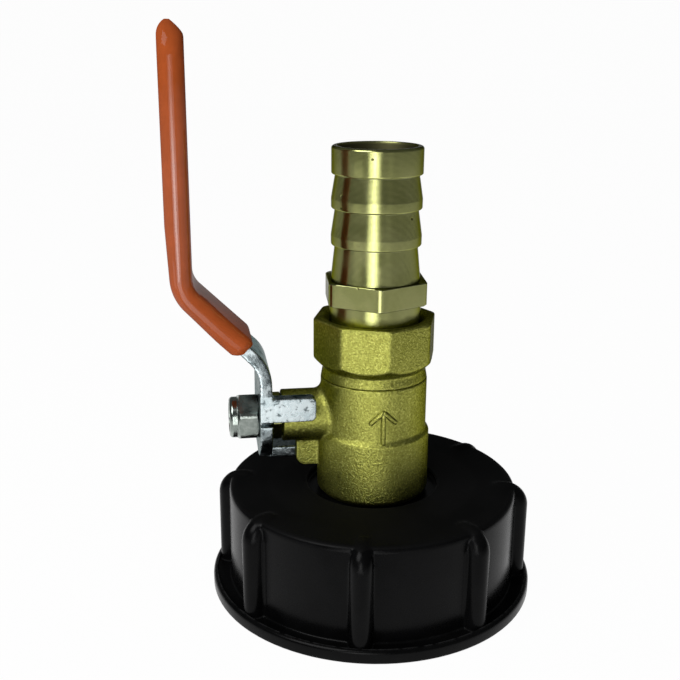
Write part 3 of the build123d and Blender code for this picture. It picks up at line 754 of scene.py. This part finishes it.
def cap_row(point, rib, section):
    """One row of the cap's skin: a plain circle, or a circle that the ribs push out."""
    angles = cap_angles(point.x, section)
    heights = [0.0] * (len(section) + COLUMNS_BETWEEN_RIBS)
    ahead = Vector((0, 0))
    if rib:
        _, ahead, deep, share = rib
        for k, (_, up) in enumerate(section):
            lift = up - deep
            heights[k] = share * (lift + sqrt(lift * lift + RIB_BLEND * RIB_BLEND)) / 2
    row = []
    for j, angle in enumerate(angles):
        spot = point + ahead * heights[j % len(heights)]
        row.append(Vector((spot.x * cos(angle), spot.x * sin(angle), spot.y)))
    return row


# Hose tail

def barb_corners():
    """Outline of the barbed stem from the hexagon to the mouth: radius, height and round of each corner."""
    foot_z = TAIL_HEX_Z + TAIL_HEX_H
    corners = [(BARB_R - 0.05, foot_z, 0)]
    for notch in BARB_NOTCHES:
        notch_z = foot_z + notch
        corners += [(BARB_NOTCH_R, notch_z, 0.1), (BARB_R - 0.02, notch_z + 0.12, BARB_LIP_ROUND)]
        if notch < BARB_NOTCHES[-1]:
            corners += [(BARB_R, notch_z + BARB_LIP_H, 1.6)]
    corners += [
        (BARB_R, TAIL_TOP_Z, 0.6), (BARB_MOUTH_R, TAIL_TOP_Z, 0.25),
        (TAIL_BORE_R, TAIL_TOP_Z - BARB_MOUTH_DEPTH, 0.6), (TAIL_BORE_R, TAIL_LOW_Z, 0.3),
    ]
    return corners


def hose_tail():
    """Turned tail with collar, spanner hexagon, three barbs with soft lips and a flared mouth."""
    columns = TAIL_COLUMNS
    below = rounded([
        (TAIL_BORE_R + 0.4, TAIL_LOW_Z, 0), (TAIL_THREAD_R, TAIL_LOW_Z, 0.5),
        (TAIL_THREAD_R, TAIL_COLLAR_LOW_Z, 0), (TAIL_COLLAR_R, TAIL_COLLAR_LOW_Z, 0.2),
        (TAIL_COLLAR_R, TAIL_HEX_Z, 0),
    ])[:-1]
    below.append(Vector((TAIL_COLLAR_R - 0.1, TAIL_HEX_Z)))
    rows = [[tuple(p)] * columns for p in below]
    hex_top = TAIL_HEX_Z + TAIL_HEX_H
    rows += hexagon_rows(TAIL_AF, TAIL_HEX_Z, hex_top, columns, TAIL_HEX_CORNER, TAIL_HEX_EASE)
    stem = rounded(barb_corners() + [(TAIL_BORE_R + 0.3, TAIL_LOW_Z, 0)])[:-1]
    rows += [[tuple(p)] * columns for p in stem]
    return add_piece(
        "barbed_tail", turned_points(rows, TAIL_TURN_DEG), grid_faces(len(rows), columns, True), "housing",
        "turned_brass", ("hose_tail",),
    )


# Lock nut

def along_stem(point):
    """Place a point drawn round Z on the stem, which runs out along -X."""
    return Vector((-point.z, point.x, STEM_Z - point.y))


def lock_nut():
    """Hexagon nut with turned corners and a rolled collar."""
    columns = NUT_COLUMNS
    collar = NUT_END - NUT_COLLAR_H
    rows = hexagon_rows(NUT_AF, NUT_START, collar, columns, NUT_CORNER, NUT_EASE)
    outline = rounded([
        (NUT_COLLAR_R + 0.15, collar, 0), (NUT_COLLAR_R, collar + 0.15, 0.1),
        (NUT_COLLAR_R, NUT_END, NUT_ROLL), (NUT_LIP_R, NUT_END, 0.15), (NUT_LIP_R, NUT_END - NUT_LIP, 0),
        (INSERT_R, NUT_END - NUT_LIP, 0),
        (INSERT_R, collar, 0), (NUT_BORE_R, collar, 0), (NUT_BORE_R, NUT_START, 0.4),
        (NUT_AF / 2 - 0.5, NUT_START, 0),
    ])
    rows += [[tuple(p)] * columns for p in outline]
    points = [along_stem(p) for p in turned_points(rows, NUT_TURN_DEG)]
    return add_piece(
        "collar_nut", points, grid_faces(len(rows), columns, True), "handle", "plated_nut", ("lock_nut",)
    )


# Grip sleeve

def grip_line():
    """Middle line of the sleeve up to its tip: points with their outward normals."""
    slope = LEVER_SLOPE
    turn = radians(90 - LEVER_SLOPE_DEG)
    tangent = LEVER_BEND * tan(turn / 2)
    start = LEVER_KNEE + slope * GRIP_START
    elbow = LEVER_KNEE + slope * LEVER_OUT / cos(radians(LEVER_SLOPE_DEG))
    straight = (elbow - start).length - tangent
    normal = Vector((-slope.z, 0, slope.x))
    line = [(start + slope * s, normal) for s in GRIP_LIP_STEPS]
    line += [(start + slope * straight * i / 8, normal) for i in range(2, 9)]
    centre = elbow - slope * tangent - normal * LEVER_BEND
    for i in range(1, 10):
        angle = turn * i / 9
        lean = Matrix.Rotation(angle, 3, "Y") @ normal
        line.append((centre + lean * LEVER_BEND, lean))
    return line


def sleeve_ring(half_width, half_thickness, corner):
    """Rounded rectangle as columns of offsets across and through the strip."""
    quarter = GRIP_COLUMNS // 4
    ring = []
    for i in range(GRIP_COLUMNS):
        side, step = divmod(i, quarter)
        angle = pi / 2 * (side + step / quarter)
        across = half_width - corner if side in (0, 3) else corner - half_width
        through = half_thickness - corner if side in (0, 1) else corner - half_thickness
        ring.append((across + corner * cos(angle), through + corner * sin(angle)))
    return ring


def tip_size(height, half_width, half_thickness, top, corner):
    """Half width, and both faces measured through the strip, of a strip's rounded top at a height."""
    rise = max(0.0, height - (top - corner))
    wide = half_width - corner + sqrt(max(corner * corner - rise * rise, 0.0))
    drop = max(0.0, height - (top - GRIP_TIP_DROP))
    outer = half_thickness - GRIP_TIP_ARC_R + sqrt(GRIP_TIP_ARC_R * GRIP_TIP_ARC_R - drop * drop)
    inner = -half_thickness + GRIP_TIP_SLANT * (drop / GRIP_TIP_DROP) ** GRIP_TIP_CURVE
    return wide, outer, inner


def elbow_thickness(spot, elbow):
    """Share of the skin's offset that is left on the outside of the elbow, where the dip runs thin."""
    near = max(0.0, 1 - ((spot - elbow).length / GRIP_ELBOW_REACH) ** 2)
    return 1 - GRIP_ELBOW_THIN * near * near


def outer_rows():
    """Rows of the sleeve's skin from its dipped lip to its closed tip."""
    half_width, half_thickness = LEVER_W / 2 + GRIP_SIDE, LEVER_T / 2 + GRIP_SKIN
    line = grip_line()
    elbow = line[-5][0]
    rows = []
    for i, (middle, normal) in enumerate(line):
        along = (middle - line[0][0]).length
        outside = elbow_thickness(middle, elbow)
        swell = sqrt(1 - (1 - min(along / GRIP_LIP, 1.0)) ** 2) if i < len(GRIP_LIP_STEPS) else 1.0
        thin = GRIP_SKIN * GRIP_LIP_THIN * (1 - swell)
        ring = sleeve_ring(half_width - thin, half_thickness - thin, GRIP_ROUND - thin)
        rows.append([
            middle + normal * min(through, through * outside) + Vector((0, across, 0))
            for across, through in ring
        ])
    axis, normal = line[-1]
    corner = LEVER_TIP_ROUND + GRIP_SIDE
    heights = [axis.z + (GRIP_TOP_Z - corner - axis.z) * i / 8 for i in range(1, 9)]
    heights += [GRIP_TOP_Z - corner * (1 - sin(radians(6 * i))) for i in range(1, 14)]
    for height in heights:
        wide, outer, inner = tip_size(height, half_width, half_thickness, GRIP_TOP_Z, corner)
        thick, shift = (outer - inner) / 2, (outer + inner) / 2
        ring = sleeve_ring(wide, thick, min(GRIP_ROUND, GRIP_TIP_ROUND * thick, GRIP_TIP_ROUND * wide))
        outside = elbow_thickness(Vector((axis.x, 0, height)), elbow)
        ring = [(across, min(through + shift, (through + shift) * outside)) for across, through in ring]
        rows.append([Vector((axis.x, across, height)) + normal * through for across, through in ring])
    return rows


def pocket_rows():
    """Rows of the pocket that holds the lever, from its closed top down to the lip."""
    half_width, half_thickness = LEVER_W / 2 + GRIP_PLAY, LEVER_T / 2 + GRIP_PLAY
    line = grip_line()
    top = GRIP_TOP_Z - GRIP_CAP + GRIP_PLAY
    axis, normal = line[-1]
    rows = []
    for angle in (radians(15 * i) for i in range(5, -1, -1)):
        height = top - LEVER_TIP_ROUND * (1 - sin(angle))
        wide = half_width - LEVER_TIP_ROUND * (1 - cos(angle))
        ring = sleeve_ring(wide, half_thickness, GRIP_POCKET_ROUND)
        rows.append([Vector((axis.x, across, height)) + normal * through for across, through in ring])
    ring = sleeve_ring(half_width, half_thickness, GRIP_POCKET_ROUND)
    for middle, normal in reversed(line):
        rows.append([middle + normal * through + Vector((0, across, 0)) for across, through in ring])
    return rows


def grip_sleeve():
    """Dipped sleeve: smooth skin, slightly ragged lower lip, closed tip, and the pocket for the lever."""
    rows = pocket_rows() + outer_rows()
    columns = len(rows[0])
    start, normal = grip_line()[0]
    lip = len(pocket_rows())
    for i in range(lip - 3, lip + 5):
        for j, point in enumerate(rows[i]):
            ripple = noise.noise(Vector((point.x, point.y, 0)) * GRIP_RIPPLES) * GRIP_RAGGED
            inner = 0.5 - (point - start).dot(normal) / (LEVER_T + 2 * GRIP_SKIN)
            longer = GRIP_LIP_LONG + GRIP_LIP_SLANT * inner + ripple
            rows[i][j] = point - LEVER_SLOPE * longer * (1 - abs(i - lip) / GRIP_LIP_ROWS)
    points = [p for row in rows for p in row]
    faces = grid_faces(len(rows), columns, False)
    faces.append(tuple(reversed(range(columns))))
    faces.append(tuple(range(len(points) - columns, len(points))))
    return add_piece("dipped_grip", points, faces, "handle", "grip_plastic", ("grip_sleeve",))


# Cast arrow

def stroke(path, out, width, height):
    """Points and faces of a raised bead along a path; out gives the surface's normal at a point."""
    profile = [(cos(radians(30 * i)), sin(radians(30 * i))) for i in range(7)] + [(0.0, -0.6)]
    rows = []
    steps = len(path) - 1
    for i, point in enumerate(path):
        ahead = (path[min(i + 1, steps)] - path[max(i - 1, 0)]).normalized()
        normal = out(point)
        across = normal.cross(ahead).normalized()
        ease = sqrt(max(1 - (abs(2 * i / steps - 1)) ** 8, 0.06))
        rows.append([
            point + across * side * width / 2 * ease + normal * up * height * ease for side, up in profile
        ])
    columns = len(profile)
    points = [p for row in rows for p in row]
    faces = grid_faces(len(rows), columns, False)
    faces += [tuple(reversed(range(columns))), tuple(range(len(points) - columns, len(points)))]
    return points, faces


def joined(strokes):
    """One list of points and faces from several strokes."""
    points, faces = [], []
    for more_points, more_faces in strokes:
        faces += [tuple(i + len(points) for i in face) for face in more_faces]
        points += more_points
    return points, faces


def flow_arrow():
    """Raised arrow on the front of the body that points to the hose tail."""
    low, high = STEM_Z - ARROW_LENGTH / 2, STEM_Z + ARROW_LENGTH / 2

    def wrapped(start, end, steps=14):
        """Straight line drawn on the body's round front."""
        line = []
        for i in range(steps + 1):
            side, height = (a + (b - a) * i / steps for a, b in zip(start, end))
            angle = side / BODY_R
            line.append(Vector((BODY_R * sin(angle), -BODY_R * cos(angle), height)))
        return line

    def out(point):
        return Vector((point.x, point.y, 0)).normalized()

    lines = [
        wrapped((0, low), (0, high)), wrapped((-ARROW_HEAD, high - ARROW_HEAD), (0.2, high)),
        wrapped((ARROW_HEAD, high - ARROW_HEAD), (-0.2, high)),
    ]
    points, faces = joined([stroke(line, out, MARK_W, MARK_H) for line in lines])
    return add_piece("flow_arrow", points, faces, "housing", "cast_brass")


# Stage

def studio_floor():
    """Pale floor that ends in a low sweep behind the object."""
    ahead = Vector((cos(radians(CAMERA_HEADING_DEG)), sin(radians(CAMERA_HEADING_DEG)), 0))
    side = Vector((ahead.y, -ahead.x, 0)) * FLOOR_HALF
    section = [(-FLOOR_HALF, 0.0), (0.0, 0.0), (FLOOR_REACH, 0.0)]
    for angle in (radians(10 * i) for i in range(1, 10)):
        section.append((FLOOR_REACH + FLOOR_BEND * sin(angle), FLOOR_BEND * (1 - cos(angle))))
    section.append((FLOOR_REACH + FLOOR_BEND, FLOOR_WALL))
    points, faces = [], []
    for forward, height in section:
        middle = ahead * forward + Vector((0, 0, FLOOR_Z + height))
        points += [middle - side, middle + side]
    for i in range(len(section) - 1):
        faces.append((2 * i, 2 * i + 1, 2 * i + 3, 2 * i + 2))
    mesh = bpy.data.meshes.new("studio_floor")
    mesh.from_pydata(points, [], faces)
    mesh.shade_smooth()
    mesh.materials.append(floor_finish())
    floor = bpy.data.objects.new("studio_floor", mesh)
    bpy.context.scene.collection.objects.link(floor)


def floor_finish():
    """White below and behind the object, fading to pale grey in front and at the sides."""
    material, tree, shader = finish_of("floor_paper")
    where = place(tree, "TexCoord").outputs["Object"]
    sockets = {"Vector": where, "Angle": radians(90 - CAMERA_HEADING_DEG)}
    turned = place(tree, "VectorRotate", sockets, rotation_type="Z_AXIS").outputs[0]
    axes = place(tree, "SeparateXYZ", {0: turned}).outputs
    front = spread(tree, axes["Y"], PAPER_FRONT - PAPER_FRONT_FADE, PAPER_FRONT)
    half = math(tree, "ADD", math(tree, "MULTIPLY", axes["Y"], PAPER_SPREAD), PAPER_HALF)
    beside = math(tree, "SUBTRACT", half, math(tree, "ABSOLUTE", axes["X"]))
    white = math(tree, "MULTIPLY", front, spread(tree, beside, -PAPER_SIDE_FADE, 0.0))
    tone = blend(tree, white, (*FLOOR_GREY, 1), (1.0, 1.0, 1.0, 1))
    set_sockets(tree, shader, base_color=tone, roughness=0.9, specular_ior_level=0.0)
    glow = place(tree, "Emission", {"Color": tone, "Strength": 1.0}).outputs[0]
    path = place(tree, "LightPath").outputs
    seen = math(tree, "MAXIMUM", path["Is Camera Ray"], path["Is Glossy Ray"])
    seen = math(tree, "MAXIMUM", seen, path["Is Transmission Ray"])
    share = math(tree, "MULTIPLY", seen, PAPER_GLOW)
    mixed = place(tree, "MixShader", {0: share, 1: shader.outputs[0], 2: glow}).outputs[0]
    tree.links.new(mixed, tree.nodes["Material Output"].inputs["Surface"])
    return material


def lamp(name, turn_deg, distance, height, size, lean_deg, strength):
    """Soft panel that isn't seen by the camera itself.

    It stands at an angle to the right of the camera's direction, leans back from upright towards the ceiling
    by an angle, and shines as brightly as a white surface times its strength."""
    towards = radians(CAMERA_HEADING_DEG + 180 + turn_deg)
    away = Vector((cos(towards), sin(towards), 0))
    data = bpy.data.lights.new(name, "AREA")
    data.shape = "RECTANGLE"
    data.size, data.size_y = size
    data.energy = strength * pi * size[0] * size[1]
    panel = bpy.data.objects.new(name, data)
    panel.location = away * distance + Vector((0, 0, height))
    facing = -away * cos(radians(lean_deg)) + Vector((0, 0, sin(radians(lean_deg))))
    panel.rotation_euler = facing.to_track_quat("-Z", "Y").to_euler()
    panel.visible_camera = False
    bpy.context.scene.collection.objects.link(panel)


def world_light():
    """Even grey surroundings."""
    world = bpy.data.worlds.new("studio")
    world.use_nodes = True
    background = world.node_tree.nodes["Background"]
    background.inputs["Color"].default_value = (*SURROUNDINGS, 1)
    background.inputs["Strength"].default_value = 1.0
    bpy.context.scene.world = world


def camera():
    """Camera at the photograph's place, with its heading, tilt and small roll."""
    heading, pitch = radians(CAMERA_HEADING_DEG), radians(CAMERA_PITCH_DEG)
    ahead = Vector((cos(pitch) * cos(heading), cos(pitch) * sin(heading), sin(pitch)))
    data = bpy.data.cameras.new("view")
    data.lens, data.sensor_width = CAMERA_LENS, CAMERA_SENSOR
    data.clip_start, data.clip_end = 0.01, 20.0
    eye = bpy.data.objects.new("view", data)
    turn = ahead.to_track_quat("-Z", "Y").to_matrix().to_4x4()
    roll = Matrix.Rotation(radians(CAMERA_ROLL_DEG), 4, "Z")
    eye.matrix_world = Matrix.Translation(Vector(CAMERA_AT) * MM) @ turn @ roll
    bpy.context.scene.collection.objects.link(eye)
    bpy.context.scene.camera = eye


def soften(node, voxel, passes):
    """Round the edges of a cast or sheared node as a sand mould or a tumbler leaves them."""
    piece = frame["nodes"][node]
    skin = piece.modifiers.new("even_skin", "REMESH")
    skin.mode = "VOXEL"
    skin.voxel_size = voxel * MM
    skin.use_smooth_shade = True
    worn = piece.modifiers.new("worn_edges", "SMOOTH")
    worn.factor = 0.5
    worn.iterations = passes


def dress_nodes():
    """Give every node of the frame the finish of its slot."""
    for part in frame["record"]["subparts"]:
        mesh = frame["nodes"][part["node"]].data
        mesh.materials.clear()
        mesh.materials.append(FINISHES[part["material_slot"]])


dress_nodes()
for node, voxel, passes in SOFTENED:
    soften(node, voxel, passes)
screw_cap()
hose_tail()
lock_nut()
grip_sleeve()
flow_arrow()
studio_floor()
for name, (turn, distance, height), size, lean, strength in LAMPS:
    lamp(name, turn, distance, height, size, lean, strength)
world_light()
camera()
bpy.context.scene.view_settings.view_transform = "Standard"
